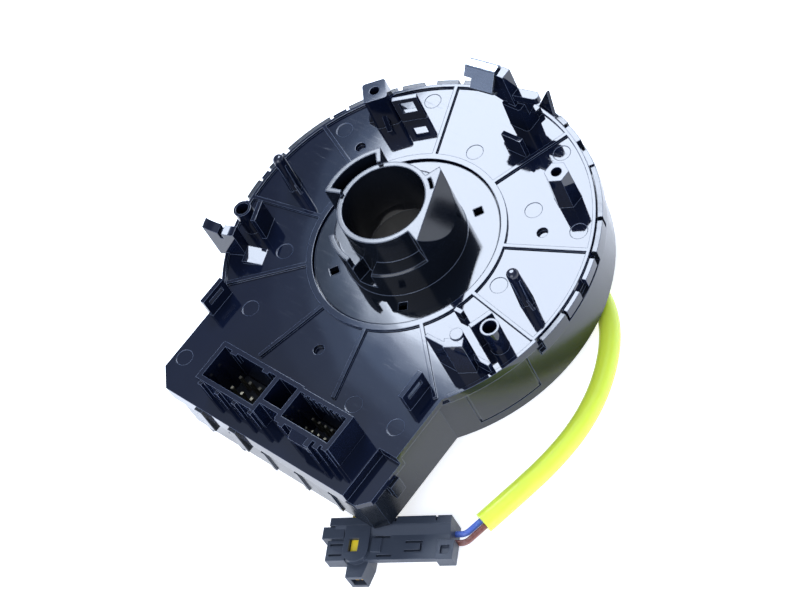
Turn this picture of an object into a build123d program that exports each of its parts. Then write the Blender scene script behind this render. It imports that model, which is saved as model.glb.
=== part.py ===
from build123d import *
from math import cos, sin, tan, radians, degrees, atan2, hypot, pi
import os

os.makedirs("parts", exist_ok=True)

# Steering clock spring. Millimetres. The rotor's axis is Z, the wheel side is down at z = 0 and the
# column side, with the posts, sockets and cancelling collar, is up. The lobe with the two harness
# sockets points along -Y.

# Heights of the stack
ride_height = 8.0            # lowest face of the drum above the wheel-side standing ring
case_height = 17.7           # drum, from its lowest face to the field of the back plate
plate_thickness = 1.8
rim_rise = 0.7               # rim, ribs and land stand this far above the plate's field
floor_thickness = 1.6        # case floor
running_gap = 0.35           # between pieces that turn past each other
field_z = ride_height + case_height
plate_under_z = field_z - plate_thickness
case_floor_z = ride_height + floor_thickness

# Outline of the drum and the lobe
case_radius = 51.4
case_wall = 1.8
floor_lip = 5.4              # the case floor is a ring of this width
case_opening_radius = case_radius - floor_lip
rim_step = 0.5               # the plate's rim is this far inside the drum's wall
rim_width = 0.9
rim_outer_radius = case_radius - rim_step
rim_inner_radius = rim_outer_radius - rim_width
tab_reach = 1.5
tab_radius = rim_outer_radius + tab_reach
lobe_left = -36.0
lobe_right = 39.0
lobe_reach = 14.8            # the lobe's front is this far beyond the drum
lobe_front = -(case_radius + lobe_reach)
left_chamfer = 5.0
right_chamfer = 3.0
lobe_root = -24.0            # the lobe's outline starts well inside the drum's circle
lobe_wall_inset = 0.9        # case wall inside the plate's front skirt
front_skirt_depth = 5.0
front_skirt_thickness = 0.8

# Rim castellations, as pairs of angles
merlons = [(107.1, 110.6), (112.5, 119.5), (123.5, 130.5), (132.1, 134.4), (142.5, 148.0), (154.5, 170.3),
           (172.1, 178.5), (183.5, 190.0), (71.0, 75.0), (34.0, 52.0), (22.3, 32.7), (-8.2, 1.4)]
tabs = [(135.4, 141.5), (149.0, 153.5), (179.5, 182.5), (191.0, 197.0), (75.6, 92.0), (94.0, 106.1),
        (63.2, 70.0), (53.0, 59.0), (13.2, 20.2), (2.4, 9.2)]
merlon_reach = 1.2
merlon_thickness = 1.4
merlon_outer_radius = case_radius + merlon_reach
merlon_inner_radius = merlon_outer_radius - merlon_thickness
merlon_rise = 0.2            # merlons end this far above the field
tab_depth = 3.0              # tabs hang this far below the field
tab_skirt = 0.8
tab_clearance = 0.2
band_angles = (-10.0, 198.0)
band_height = 2.2
band_slope = 1.4
panel_angles = (-34.0, -14.0)
panel_low_z = ride_height + 2.6
panel_groove = 0.5
panel_sides = [(-34.0, -33.4), (-14.6, -14.0)]
chamber_wall_angles = (-134.0, -48.0)
snap_lug_places = [lobe_front + reach for reach in (5.7, 10.5, 18.7)]
snap_lug_size = (1.6, 2.2)
snap_lug_heights = (plate_under_z - 4.3, plate_under_z - 1.5)
side_hook_place = lobe_front + 10.5
side_hook_size = (1.8, 3.4)
side_hook_slot = (0.8, 1.4)
side_hook_height = 5.2
case_rib_places = [-24.0, -12.0, 0.0, 12.0, 24.0]
case_rib_height = 9.0
front_hook_places = [-18.0, -5.5]
front_hook_size = (2.6, 0.9)
hook_root_z = field_z - 9.7

# Plate: bore, land and radial ribs
column_bore_radius = 11.2
bore_to_column = 14.7        # from the column's bore to the plate's
bore_radius = column_bore_radius + bore_to_column
land_width = 1.7
land_radius = bore_radius + land_width
rib_width = 1.0
rib_join = 0.3
upper_rib_angles = [22.5 + 45.0 * i for i in range(4)]
lower_rib_angles = [189.6 + 225.0 / 7 * i for i in range(6)]
long_rib_end = rim_inner_radius + rim_width / 4
short_rib_end = rim_inner_radius - 2 * rim_width
rim_angles = (-10.0, 198.0)
flush_rims = [(-38.4, -9.5), (197.5, 223.4)]
flush_step = 0.2
flush_radius = case_radius + flush_step

# Marks and blind core holes in the plate: how far inside the rim each lies, and its angle
mark_radius = 2.35
mark_depth = 0.12
marks = [(18.9, 91.4), (4.2, 119.8), (4.5, 152.4), (3.7, 62.3), (15.5, 42.0), (3.4, 29.7), (18.5, 0.9),
         (15.6, 211.3), (5.4, 234.3), (-15.4, 240.0), (1.1, 293.1), (-5.8, 306.7)]
core_hole_radius = 1.5
core_hole_depth = 1.2
core_hole_inset = 13.0
core_hole_angles = [30.0, 150.0, 270.0]

# Screw posts
post_x = rim_inner_radius - 18.4
post_y = rim_inner_radius - 19.7
post_height = 11.1
post_radius = 3.7
post_taper = 2.0
screw_radius = 1.4
screw_depth = 9.0
gusset_width = 1.2
gusset_reach = 5.6
gusset_height = 4.5
gusset_angles = [45.0, 135.0, 225.0, 315.0]

# Cross-ribbed locating pins
pin_x = rim_inner_radius - 9.0
pin_height = 13.4
pin_core_radius = 1.6
pin_rib_span = 4.0
pin_rib_width = 1.2
pin_wing_reach = 3.6
pin_wing_height = 3.2
pin_wing_angles = [-20.0, 160.0]
pin_rib_height = 10.4
pin_rib_taper = 1.8
pin_tip_fillet = 1.2

# Tube bosses, each with a flat wall behind it
tube_outer_radius = 2.5
tube_inner_radius = 1.85
tube_depth = 8.0
boss_wall_thickness = 1.3
boss_wall_length = 6.4
right_tube = (rim_inner_radius - 7.0, -13.7)
right_tube_height = 9.0
right_boss_wall = (rim_inner_radius - 10.6, -12.9)
right_boss_wall_angle = 69.0
left_tube = (-rim_inner_radius + 6.8, -15.7)
left_tube_height = 8.4
left_boss_wall = (-rim_inner_radius + 11.2, -14.4)
left_boss_wall_angle = -68.0

# Window walls: width, height and place of each
window_wall_thickness = 1.3
window_frame = 1.5
window_sill = 3.4
rim_window_size = (7.0, 9.0)
rim_window_inset = 17.0
rim_window = (-23.9, rim_inner_radius - rim_window_inset)
rim_window_angle = 36.0
lobe_window_size = (8.2, 6.4)
left_lobe_window = (lobe_left + 1.1, lobe_front + 27.2)
right_lobe_window = (lobe_right - 5.8, lobe_front + 31.0)

# Hook blade at the left and cable guide at the right
hook_place = (-rim_inner_radius + 7.0, -24.0)
hook_angle = 21.0
hook_thickness = 3.0
hook_half_width = 4.0
hook_heights = (9.4, 12.6)
hook_dip = 9.8
hook_slot_width = 1.0
hook_slot_depth = 5.0
ramp_place = (-rim_inner_radius + 14.0, -23.0)
ramp_size = (5.6, 5.0)
ramp_height = 1.2
guide_place = (rim_inner_radius - 10.4, -22.6)
guide_block = (5.0, 2.6)
guide_block_angle = 30.0
guide_height = 12.2
guide_wall_place = (guide_place[0] - 4.4, guide_place[1] - 1.5)
guide_wall = (6.6, 1.1)
guide_lug = (guide_place[0] - 0.6, guide_place[1] + 2.2)
guide_lug_radius = 1.7
guide_lug_rise = 0.4
low_wall_place = (guide_place[0] + 2.4, guide_place[1] + 2.3)
low_wall = (8.0, 1.1, 3.4)
flag_place = (land_radius + 1.0, -11.4)
flag_size = (2.4, 1.2, 3.0)

# Tall post with the bar that carries the steel clip
clip_post = (5.6, rim_inner_radius - 4.6)
clip_post_foot = (6.8, 5.4, 8.6)
clip_post_blade = (2.4, 3.2)
clip_post_height = 20.4
clip_post_taper = 2.0
clip_post_round = 1.0
clip_bar_turn = 7.0
clip_bar_length = 11.0       # from the post to the bar's free end
clip_bar_depth = 1.8
clip_bar_heights = (13.4, 20.4)
clip_bar_foot = 8.0
clip_bar_slope = 3.0
clip_arm_reach = 6.8
clip_arm_angle = 12.0
clip_arm_radius = 1.3
clip_arm_heights = (10.4, 12.6)
clip_brace_foot = 3.0
clip_brace_rise = 4.0
bracket_place = (clip_post[0] + 4.9, clip_post[1] - 9.0)
bracket_size = (6.4, 1.3, 6.7)

# Steel clip over the bar
clip_sheet = 0.8
clip_width = 9.2
clip_back_drop = 6.5
clip_front_run = (3.4, 3.6)
clip_lip = (1.4, 1.4)
clip_end_gap = 0.3           # between the clip and the bar's free end
clip_cut = (2.4, 2.2)        # notch at the clip's lower left corner

# Latch block and triangular lug on the rim beside the tall post
latch_angle = 82.0
latch_radius = rim_inner_radius - 1.0
latch_size = (3.6, 2.4, 2.6)
lug_angle = 79.6
lug_half = 3.1
lug_height = 6.6
lug_lean = 22.0
lug_thickness = 0.9

# Harness sockets: left, right, front and back faces
left_socket_inset = (17.1, 38.4, 4.7, 16.7)
left_socket = (lobe_left + left_socket_inset[0], lobe_left + left_socket_inset[1],
               lobe_front + left_socket_inset[2], lobe_front + left_socket_inset[3])
right_socket_inset = (30.2, 11.6, 6.0, 16.3)
right_socket = (lobe_right - right_socket_inset[0], lobe_right - right_socket_inset[1],
                lobe_front + right_socket_inset[2], lobe_front + right_socket_inset[3])
socket_height = 8.35
socket_wall = 1.3
socket_floor_depth = 6.0
socket_floor_z = field_z - socket_floor_depth
bridge_back = left_socket[3]
bridge_inset = 8.6
bridge_front = lobe_front + bridge_inset
front_rib_width = 1.2
front_rib_depth = 1.0
left_rib_steps = [1.7, 7.9, 14.1, 19.9]
right_ribs = [(1.2, 0.6), (2.8, 1.2), (12.6, 2.2), (15.2, 1.5), (17.6, 0.8)]
right_rib_width = 1.6
latch_ramp_width = 6.4
latch_ramp_depth = 2.4
latch_ramp_drop = 1.4
tooth_count = 7
tooth_pitch = 2.0
tooth_width = 0.8
tooth_depth = 0.5
tooth_height = 4.0
key_width = 2.0
key_depth = 0.8
key_steps = [4.9, 16.5]
left_middle = ((left_socket[0] + left_socket[1]) / 2, (left_socket[2] + left_socket[3]) / 2)
right_middle_point = ((right_socket[0] + right_socket[1]) / 2, (right_socket[2] + right_socket[3]) / 2)
right_middle = right_middle_point[0]
corner_drop = 3.0            # the lobe's right front corner is this much lower
corner_left = lobe_right - 5.6
corner_back = lobe_front + 14.8
corner_wall = 1.2

# Socket pins and the block that carries them
left_pin_size = 0.8
left_pin_pitch = (3.6, 3.4)
left_pin_count = (4, 2)
right_pin_size = 0.6
right_pin_pitch = (2.2, 2.8)
right_pin_count = (6, 2)
pin_tip_rise = 0.6           # pin tips above the plate's field
pin_strip_z = case_floor_z + 1.6
pin_strip_height = 1.2
block_bounds = (left_socket[0] + 0.9, right_socket[1] - 0.8, lobe_front + 5.8, lobe_front + 14.6)
block_top_z = plate_under_z - 6.9
block_margin = 0.1
block_pocket_inset = 2.8
fit_clear = 0.1

# Rotor, column side
rotor_gap = 0.4              # radial, between the plate's bore and the rotor's ring
spool_wall = 1.8
spool_flange_radius = land_radius
spool_flange_thickness = 1.2
ring_thickness = 1.6
collar_wall = 1.4
collar_radius = column_bore_radius + collar_wall
sleeve_step = 4.2            # the sleeve is this much wider than the collar
sleeve_radius = collar_radius + sleeve_step
sleeve_height = 9.0
sleeve_chamfer = 0.5
collar_height = 17.7
prong_angles = (-19.0, 66.0)
prong_cut_azimuth = 22.0
prong_lip = 0.2              # the prong's inclined face starts this far outside the collar
prong_pocket = 0.9
prong_pocket_angles = (44.0, 60.0)
outer_wall_angles = (131.0, 197.0)
outer_wall_thickness = 1.3
outer_wall_height = 19.0
outer_wall_web_turn = 5.0
low_wall_angles = (230.0, 266.0)
low_wall_height = 12.6
notch_angles = (267.0, 287.0)
notch_depth = 5.5
square_hole = 2.4
square_hole_circle = sleeve_radius + 3.5
square_hole_angles = [53.0, 127.0, 233.0, 307.0]

# Rotor, wheel side
disc_gap = 0.5               # radial, between the case floor and the disc
disc_radius = case_opening_radius - disc_gap
disc_flange_radius = case_opening_radius + 2.6
disc_flange_thickness = 1.3
hub_tube_wall = 1.6
hub_tube_radius = column_bore_radius + hub_tube_wall
stand_radius = disc_radius - 5.5
stand_wall = 1.8
stand_notch = (17.0, 43.0)
wheel_rib_count = 10
wheel_rib_start = 12.0
wheel_rib_width = 1.2
wheel_rib_height = 2.0
wheel_hub_radius = hub_tube_radius + 1.8
drive_pin_radius = 2.5
drive_pin_circle = stand_radius - 11.0
drive_pin_angles = [100.0, 200.0]
drive_pin_clear = 0.4        # drive pins end this far above the standing plane
wheel_socket_centre_y = -hub_tube_radius - 5.6
wheel_socket_size = (12.6, 6.4)
wheel_socket_wall = 1.1
wheel_socket_clear = 0.4
wheel_pin_size = 0.64
wheel_pin_pitch = (2.0, 2.4)
wheel_pin_count = (5, 2)
wheel_pin_tip_z = ride_height - 3.0
hub_block_size = (13.8, 8.0)
hub_block_height = 7.5
snap_ring_width = 1.4
snap_ring_height = 1.3
snap_ring_opening = (80.0, 100.0)

# Flat cable and film
cable_inner_radius = land_radius + 0.8
cable_turns = 4
cable_pitch = 2.6
cable_thickness = 0.4
cable_lift = 0.3
cable_top_gap = 0.9
film_thickness = 0.25
film_margin = 1.0
film_radii = (cable_inner_radius, disc_flange_radius - film_margin)
clamp_reach = 1.4
clamp_angles = (-60.0, -54.0)
clamp_heights = (case_floor_z + 2.3, case_floor_z + 7.0)

# Airbag lead on the standing plane, with its housing on the rotor
sleeve_diameter = 5.6
lead_z = 2.9
lead_route = [(31.5, 22.6), (41.0, 20.4), (49.6, 14.4), (55.8, 5.6), (60.0, -5.0), (61.6, -15.6),
              (61.0, -26.0), (59.1, -35.8), (56.0, -48.8)]
housing_width = 8.6
housing_wall = 1.0
housing_length = 9.0
lead_cover_height = ride_height - 2.1
lead_cover_clear = 0.2
wire_diameter = 1.6
wire_spacing = 2.4
wire_entry_spacing = 1.9
bend_share = 0.45

# Squib connector, in its own axes: x along it from the nose end to the wires, y towards the drum.
# Each block is left, right, front, back and the height of its top.
connector_corner = (28.65, -80.4)
connector_turn = 31.0
connector_top = 7.5
connector_main = (1.6, 33.0, 1.8, 8.4, 6.6)
connector_keel = (1.8, 2.6)  # height of the front face, and how far its foot draws back
connector_shoulder = (2.4, 33.0, 8.4, 11.0, 6.6)
connector_foot = (30.0, 34.4, 1.4, 6.6, 7.2)
foot_hole = 2.3
connector_end = (0.8, 6.0, 1.6, 7.0, 7.0)
connector_ear = (-0.9, 5.0, 7.6, 10.8, 7.2)
end_slots = [(1.6, 5.0, 5.6), (1.6, 5.0, 2.8)]
slot_width = 0.6
slot_depth = 0.8
boss_bounds = (5.3, 12.0, 4.4, 11.0)
lock_window = (6.8, 9.3, 3.8, 7.4)
lock_clear = 0.12
lock_gap = 0.3               # between the cover and the lock's crosspiece
lock_heights = (2.4, 6.4)
lock_crosspiece = (6.1, 14.5, 1.1)
nose_block = (6.4, 12.0, -2.4, 1.8, 5.6)
nose_taper = 1.2
nose_floor = 1.2
contact_size = (0.9, 2.6, 0.8)
contact_places = [8.0, 9.6]
contact_chamber = (7.4, 10.8, -3.2, 1.0)
contact_chamber_height = 3.2
contact_lift = 1.2
cover_bounds = (0.8, 33.0, 11.0, 13.2)
cover_lip = 0.8
cover_notches = [18.0, 28.8]
latch_bounds = (21.4, 26.0, 3.8, 6.8)
latch_arm = 0.6
latch_panel = (12.6, 15.2, 3.8, 7.6)
side_slots = [(13.2, 17.2, 7.7), (14.2, 18.2, 2.6)]
wire_exit_y = 8.9


def polar(radius, angle):
    """Point at a radius and an angle in degrees."""
    return (radius * cos(radians(angle)), radius * sin(radians(angle)))


def radial_plane(angle, height=0):
    """Vertical plane through the axis: x runs outwards along the angle and y is up."""
    return upright(0, 0, height, angle)


def upright(x, y, z, angle):
    """Vertical plane at a point: its x axis runs along the angle and its y axis is up."""
    along = (cos(radians(angle)), sin(radians(angle)), 0)
    return Plane(origin=(x, y, z), x_dir=along, z_dir=(along[1], -along[0], 0))


def turned(x, y, z, angle):
    """Level plane at a point, with its x axis along the angle."""
    return Plane(origin=(x, y, z), x_dir=(cos(radians(angle)), sin(radians(angle)), 0), z_dir=(0, 0, 1))


def sector(inner, outer, angles):
    """Face of a ring between two radii and a pair of angles."""
    start, end = angles
    with BuildSketch() as face:
        with BuildLine():
            low = CenterArc((0, 0), inner, start, end - start)
            high = CenterArc((0, 0), outer, start, end - start)
            Line(low @ 0, high @ 0)
            Line(low @ 1, high @ 1)
        make_face()
    return face.sketch


def bounded(left, right, front, back):
    """Rectangular face given by its four sides."""
    with BuildSketch() as face:
        with Locations(((left + right) / 2, (front + back) / 2)):
            Rectangle(right - left, back - front)
    return face.sketch


def inset_bounds(bounds, inset):
    """Sides of a rectangle drawn inwards on all four sides."""
    left, right, front, back = bounds
    return (left + inset, right - inset, front + inset, back - inset)


def lobe_face(inset):
    """Face of the lobe, drawn inwards by the inset, with its back inside the drum's circle."""
    left = lobe_left + inset
    right = lobe_right - inset
    front = lobe_front + inset
    with BuildSketch() as face:
        with BuildLine():
            Polyline((left, lobe_root), (left, front + left_chamfer), (left + left_chamfer, front),
                     (right - right_chamfer, front), (right, front + right_chamfer), (right, lobe_root),
                     close=True)
        make_face()
    return face.sketch


# Outer case: floor ring, drum wall, lobe wall and the castellated band that the plate snaps into
corner_top_z = plate_under_z - corner_drop
merlon_top_z = field_z + merlon_rise
tab_bottom_z = field_z - tab_depth
band_top_z = tab_bottom_z - tab_clearance
band_bottom_z = band_top_z - band_height

with BuildPart() as outer_case:
    with BuildSketch(Plane.XY.offset(ride_height)):
        Circle(case_radius)
        add(lobe_face(lobe_wall_inset))
    extrude(amount=plate_under_z - ride_height)
    with BuildSketch(Plane.XY.offset(case_floor_z)):
        Circle(case_radius - case_wall)
        add(lobe_face(lobe_wall_inset + case_wall))
    extrude(amount=case_height, mode=Mode.SUBTRACT)
    with BuildSketch(Plane.XY.offset(ride_height)):
        Circle(case_opening_radius)
    extrude(amount=floor_thickness, mode=Mode.SUBTRACT)
    # Arc wall that parts the cable chamber from the lobe, with a window for the cable's end
    with BuildSketch(Plane.XY.offset(case_floor_z)):
        add(sector(case_radius - case_wall, case_radius, chamber_wall_angles))
    extrude(amount=block_top_z - fit_clear - case_floor_z)
    # Band around the drum and the merlons that stand on it
    with BuildSketch(radial_plane(band_angles[0])):
        with BuildLine():
            Polyline((case_radius - case_wall / 2, band_bottom_z), (case_radius, band_bottom_z),
                     (merlon_outer_radius, band_bottom_z + band_slope), (merlon_outer_radius, band_top_z),
                     (case_radius - case_wall / 2, band_top_z), close=True)
        make_face()
    revolve(axis=Axis.Z, revolution_arc=band_angles[1] - band_angles[0])
    with BuildSketch(Plane.XY.offset(band_top_z - band_slope / 2)):
        for angles in merlons:
            add(sector(merlon_inner_radius, merlon_outer_radius, angles))
    extrude(amount=merlon_top_z - band_top_z + band_slope / 2)
    # Low corner at the lobe's right front
    with BuildSketch(Plane.XY.offset(corner_top_z)):
        add(bounded(corner_left - corner_wall - fit_clear, lobe_right, lobe_front,
                    corner_back + corner_wall + fit_clear))
    extrude(amount=case_height, mode=Mode.SUBTRACT)
    # Grooved outline of the panel on the drum's right side
    for low, high, angles in ((panel_low_z, panel_low_z + panel_groove, panel_angles),
                              (panel_low_z, plate_under_z, panel_sides[0]),
                              (panel_low_z, plate_under_z, panel_sides[1])):
        with BuildSketch(Plane.XY.offset(low)):
            add(sector(case_radius - panel_groove, case_radius + case_wall, angles))
        extrude(amount=high - low, mode=Mode.SUBTRACT)
    # Snap lugs and ribs on the lobe's walls
    with BuildSketch(Plane.XY.offset(snap_lug_heights[0])):
        for y in snap_lug_places:
            with Locations((lobe_left + lobe_wall_inset, y)):
                Rectangle(snap_lug_size[0] * 2, snap_lug_size[1])
    extrude(amount=snap_lug_heights[1] - snap_lug_heights[0])
    with BuildSketch(Plane.XY.offset(ride_height)):
        for x in case_rib_places:
            with Locations((x, lobe_front + lobe_wall_inset)):
                Rectangle(front_rib_width, lobe_wall_inset)
    extrude(amount=case_rib_height)
    with BuildSketch(Plane.XY.offset(hook_root_z)):
        for x in front_hook_places:
            with Locations((x, lobe_front - front_hook_size[1] / 2)):
                Rectangle(*front_hook_size)
    extrude(amount=field_z - hook_root_z)
    with BuildSketch(Plane.XY.offset(hook_root_z)):
        for x in front_hook_places:
            with Locations((x, lobe_front)):
                Rectangle(front_hook_size[0], 2 * lobe_wall_inset)
    extrude(amount=field_z - front_skirt_depth - tab_clearance - hook_root_z)
    # Slotted hook on the lobe's right wall
    hook_face = (lobe_right - lobe_wall_inset, side_hook_place)
    with BuildSketch(Plane.XY.offset(corner_top_z - tab_clearance - side_hook_height)):
        with Locations(hook_face):
            Rectangle(2 * side_hook_size[0], side_hook_size[1])
            Rectangle(2 * side_hook_slot[0], side_hook_slot[1], mode=Mode.SUBTRACT)
        with Locations((hook_face[0] - side_hook_size[0] / 2, hook_face[1])):
            Rectangle(side_hook_size[0], side_hook_size[1], mode=Mode.SUBTRACT)
    extrude(amount=side_hook_height)
outer_case.part.label = "outer_case"
export_step(outer_case.part, "parts/outer_case.step")

# Back plate
with BuildPart() as back_plate:
    with BuildSketch(Plane.XY.offset(plate_under_z)):
        Circle(rim_outer_radius)
        add(lobe_face(0))
        for angles in tabs:
            add(sector(rim_inner_radius, tab_radius, angles))
        for angles in flush_rims:
            add(sector(rim_inner_radius, flush_radius, angles))
    extrude(amount=plate_thickness)
    with BuildSketch(Plane.XY.offset(tab_bottom_z)):
        for angles in tabs:
            add(sector(tab_radius - tab_skirt, tab_radius, angles))
    extrude(amount=tab_depth)
    # Front skirt over the case's lobe wall
    with BuildSketch(Plane.XY.offset(field_z - front_skirt_depth)):
        add(bounded(lobe_left + left_chamfer, corner_left, lobe_front, lobe_front + front_skirt_thickness))
    extrude(amount=front_skirt_depth)
    # Low corner: step down, floor and the two walls behind it
    with BuildSketch(Plane.XY.offset(corner_top_z)):
        add(bounded(corner_left - corner_wall, corner_left, lobe_front, corner_back + corner_wall))
        add(bounded(corner_left, lobe_right, corner_back, corner_back + corner_wall))
    extrude(amount=field_z - corner_top_z)
    with BuildSketch(Plane.XY.offset(field_z - corner_drop)):
        add(bounded(corner_left, lobe_right + corner_wall, lobe_front - corner_wall, corner_back))
    extrude(amount=corner_drop, mode=Mode.SUBTRACT)
    with BuildSketch(Plane.XY.offset(corner_top_z)):
        with BuildLine():
            Polyline((corner_left - corner_wall, corner_back + corner_wall),
                     (corner_left - corner_wall, lobe_front),
                     (lobe_right - right_chamfer, lobe_front), (lobe_right, lobe_front + right_chamfer),
                     (lobe_right, corner_back + corner_wall), close=True)
        make_face()
    extrude(amount=plate_thickness)
    # Raised rim, land and ribs
    with BuildSketch(Plane.XY.offset(field_z)):
        add(sector(rim_inner_radius, rim_outer_radius, rim_angles))
        for angles in flush_rims:
            add(sector(flush_radius - rib_width, flush_radius, angles))
        Circle(land_radius)
        for angle in upper_rib_angles + lower_rib_angles:
            end = short_rib_end if angle in lower_rib_angles[2:4] else long_rib_end
            with PolarLocations((land_radius - rib_join + end) / 2, 1, start_angle=angle):
                Rectangle(end - land_radius + rib_join, rib_width)
    extrude(amount=rim_rise)
    # Bore, ejector marks and blind core holes
    with BuildSketch(Plane.XY.offset(plate_under_z)):
        Circle(bore_radius)
    extrude(amount=case_height, mode=Mode.SUBTRACT)
    with BuildSketch(Plane.XY.offset(field_z - mark_depth)):
        for inset, angle in marks:
            with Locations(polar(rim_inner_radius - inset, angle)):
                Circle(mark_radius)
    extrude(amount=mark_depth, mode=Mode.SUBTRACT)
    with BuildSketch(Plane.XY.offset(field_z - core_hole_depth)):
        for angle in core_hole_angles:
            with Locations(polar(rim_inner_radius - core_hole_inset, angle)):
                Circle(core_hole_radius)
    extrude(amount=core_hole_depth, mode=Mode.SUBTRACT)
    # Screw posts: rounded square at the left, hexagon at the right
    with BuildSketch(Plane.XY.offset(field_z)):
        with Locations((-post_x, post_y)):
            RectangleRounded(2 * post_radius, 2 * post_radius, post_radius / 3, rotation=45)
        with Locations((post_x, post_y)):
            RegularPolygon(post_radius, 6, rotation=30)
    extrude(amount=post_height, taper=post_taper)
    for angle in gusset_angles:
        with BuildSketch(upright(-post_x, post_y, field_z, angle)):
            with BuildLine():
                Polyline((0, 0), (gusset_reach, 0), (post_radius - rib_join, gusset_height),
                         (0, gusset_height), close=True)
            make_face()
        extrude(amount=gusset_width / 2, both=True)
    with BuildSketch(Plane.XY.offset(field_z + post_height - screw_depth)):
        with Locations((-post_x, post_y), (post_x, post_y)):
            Circle(screw_radius)
    extrude(amount=screw_depth, mode=Mode.SUBTRACT)
    # Locating pins with crossed ribs
    with BuildSketch(Plane.XY.offset(field_z)):
        with Locations((-pin_x, 0), (pin_x, 0)):
            Circle(pin_core_radius)
    extrude(amount=pin_height)
    pin_tips = back_plate.edges().filter_by(GeomType.CIRCLE).filter_by_position(
        Axis.Z, field_z + pin_height - mark_depth, field_z + pin_height + mark_depth)
    fillet(pin_tips, radius=pin_tip_fillet)
    with BuildSketch(Plane.XY.offset(field_z)):
        with Locations((-pin_x, 0), (pin_x, 0)):
            Rectangle(pin_rib_span, pin_rib_width)
            Rectangle(pin_rib_width, pin_rib_span)
    extrude(amount=pin_rib_height, taper=pin_rib_taper)
    for side in (-1, 1):
        for angle in pin_wing_angles:
            with BuildSketch(upright(side * pin_x, 0, field_z, angle)):
                with BuildLine():
                    Polyline((0, 0), (pin_wing_reach, 0), (pin_core_radius / 2, pin_wing_height),
                             (0, pin_wing_height), close=True)
                make_face()
            extrude(amount=pin_rib_width / 4, both=True)
    # Tube bosses and the walls behind them
    for place, height, wall, angle in (
            (right_tube, right_tube_height, right_boss_wall, right_boss_wall_angle),
            (left_tube, left_tube_height, left_boss_wall, left_boss_wall_angle)):
        with BuildSketch(Plane.XY.offset(field_z)):
            with Locations(place):
                Circle(tube_outer_radius)
        extrude(amount=height)
        with BuildSketch(upright(*wall, field_z, angle)):
            Rectangle(boss_wall_length, height, align=(Align.CENTER, Align.MIN))
        extrude(amount=boss_wall_thickness / 2, both=True)
        with BuildSketch(Plane.XY.offset(field_z + height - tube_depth)):
            with Locations(place):
                Circle(tube_inner_radius)
        extrude(amount=tube_depth, mode=Mode.SUBTRACT)
    # Window walls
    for place, angle, size in ((rim_window, rim_window_angle, rim_window_size),
                               (left_lobe_window, 90, lobe_window_size),
                               (right_lobe_window, 90, lobe_window_size)):
        with BuildSketch(upright(*place, field_z, angle)):
            Rectangle(*size, align=(Align.CENTER, Align.MIN))
            with Locations((0, window_sill)):
                Rectangle(size[0] - 2 * window_frame, size[1] - window_sill - window_frame,
                          align=(Align.CENTER, Align.MIN), mode=Mode.SUBTRACT)
        extrude(amount=window_wall_thickness / 2, both=True)
    # Hook blade with a dipped top and a slot across it
    with BuildSketch(upright(*hook_place, field_z, hook_angle)):
        with BuildLine():
            edge = Polyline((-hook_half_width, hook_heights[1]), (-hook_half_width, 0), (hook_half_width, 0),
                            (hook_half_width, hook_heights[0]))
            ThreePointArc(edge @ 1, (0, hook_dip), edge @ 0)
        make_face()
        with Locations((0, hook_heights[1])):
            Rectangle(hook_slot_width, 2 * hook_slot_depth, mode=Mode.SUBTRACT)
    extrude(amount=hook_thickness / 2, both=True)
    with BuildSketch(upright(*ramp_place, field_z, hook_angle)):
        with BuildLine():
            Polyline((-ramp_size[0] / 2, 0), (ramp_size[0] / 2, 0), (-ramp_size[0] / 2, ramp_height),
                     close=True)
        make_face()
    extrude(amount=ramp_size[1] / 2, both=True)
    # Cable guide: a block with a round lug, a thin tall wall and a low one
    with BuildSketch(Plane.XY.offset(field_z)):
        with Locations(guide_place):
            Rectangle(*guide_block, rotation=guide_block_angle)
        with Locations(guide_wall_place):
            Rectangle(*guide_wall)
    extrude(amount=guide_height)
    with BuildSketch(Plane.XY.offset(field_z)):
        with Locations(guide_lug):
            Circle(guide_lug_radius)
    extrude(amount=guide_height + guide_lug_rise)
    with BuildSketch(Plane.XY.offset(field_z)):
        with Locations(low_wall_place):
            Rectangle(low_wall[0], low_wall[1])
    extrude(amount=low_wall[2])
    with BuildSketch(Plane.XY.offset(field_z)):
        with Locations(flag_place):
            Rectangle(flag_size[0], flag_size[1])
    extrude(amount=flag_size[2])
    # Tall post, clip bar, arm and bracket
    with BuildSketch(Plane.XY.offset(field_z)):
        with Locations(clip_post):
            RectangleRounded(clip_post_foot[0], clip_post_foot[1], clip_post_round)
    extrude(amount=clip_post_foot[2], taper=clip_post_taper)
    with BuildSketch(Plane.XY.offset(field_z)):
        with Locations(clip_post):
            Rectangle(*clip_post_blade)
    extrude(amount=clip_post_height)
    with BuildSketch(upright(*clip_post, field_z, clip_bar_turn)):
        with BuildLine():
            Polyline((-clip_bar_length, clip_bar_heights[0]), (-clip_bar_length, clip_bar_heights[1]),
                     (0, clip_bar_heights[1]), (0, clip_bar_foot), (-clip_bar_slope, clip_bar_foot),
                     close=True)
        make_face()
    extrude(amount=clip_bar_depth / 2, both=True)
    with BuildSketch(turned(*clip_post, field_z + clip_arm_heights[0], clip_arm_angle)):
        with Locations((clip_arm_reach / 2, 0)):
            SlotCenterToCenter(clip_arm_reach, 2 * clip_arm_radius)
    extrude(amount=clip_arm_heights[1] - clip_arm_heights[0])
    with BuildSketch(upright(*clip_post, field_z, clip_arm_angle)):
        with BuildLine():
            Polyline((0, 0), (clip_brace_foot, 0), (clip_brace_foot, clip_brace_rise),
                     (clip_arm_reach, clip_arm_heights[0]), (0, clip_arm_heights[0]), close=True)
        make_face()
    extrude(amount=clip_arm_radius / 2, both=True)
    with BuildSketch(upright(*bracket_place, field_z, 0)):
        Rectangle(bracket_size[0], bracket_size[2], align=(Align.CENTER, Align.MIN))
    extrude(amount=bracket_size[1] / 2, both=True)
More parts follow.
